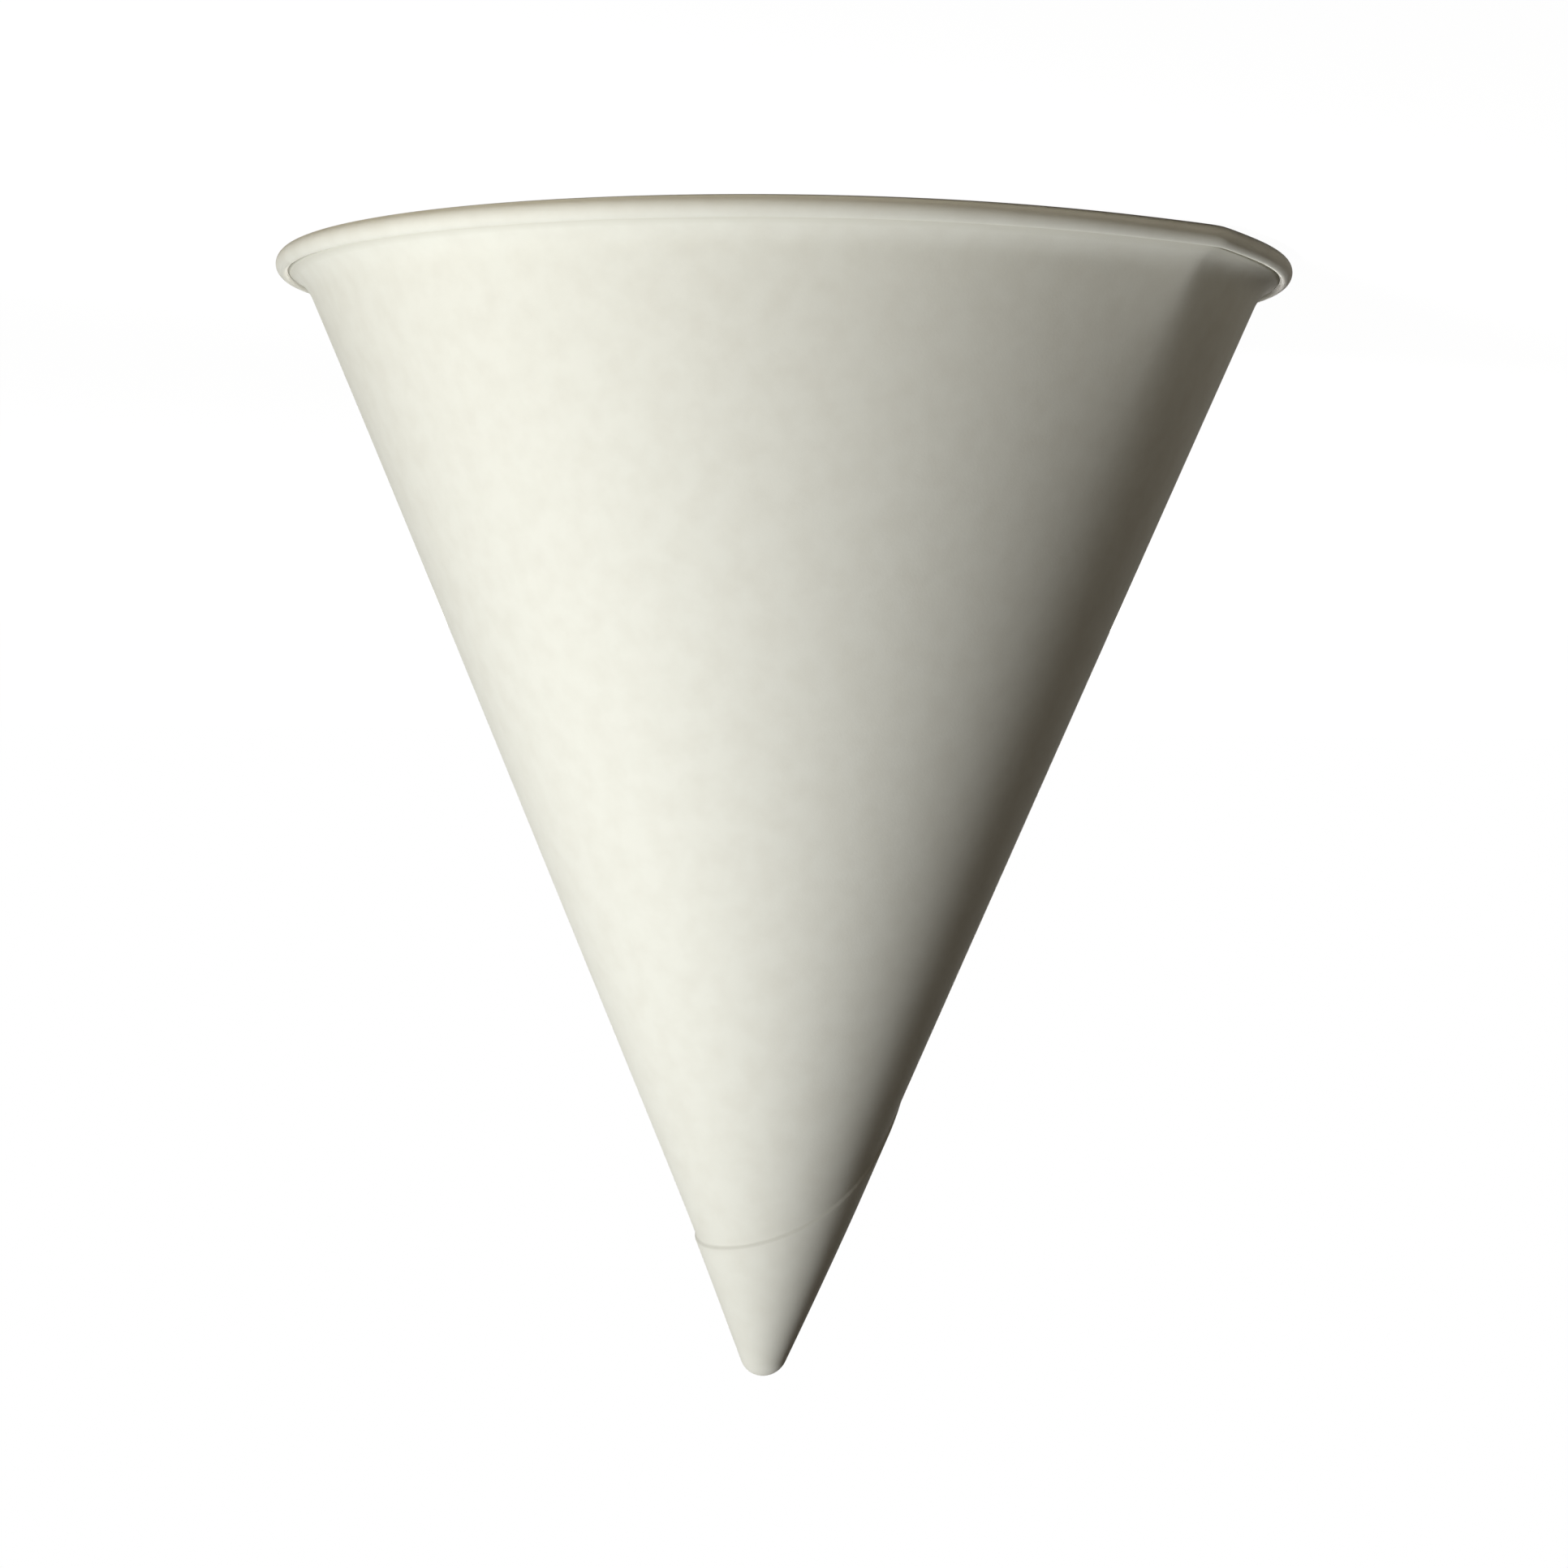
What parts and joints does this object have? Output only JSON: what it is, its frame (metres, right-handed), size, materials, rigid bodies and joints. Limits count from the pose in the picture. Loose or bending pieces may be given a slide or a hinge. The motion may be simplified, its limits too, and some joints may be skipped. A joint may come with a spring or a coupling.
{
  "type": "paper cone cup",
  "caption": "White conical paper cup with a rolled rim and a glued lap seam that winds round its closed tip, for a serving of ice cream, shaved ice or water.",
  "frame": {"origin": "on the cup's axis, in the plane of the rim that the cup stands on, mouth down", "axes": "+Z from the rim to the tip along the axis, +Y towards the seam at the back, -Y towards the viewer"},
  "size_m": [0.084, 0.084, 0.0928],
  "materials": {
    "cup_paper": "matte uncoated white paper"
  },
  "bodies": {
    "root": {"paper_cone": "cup_paper"}
  },
  "joints": []
}
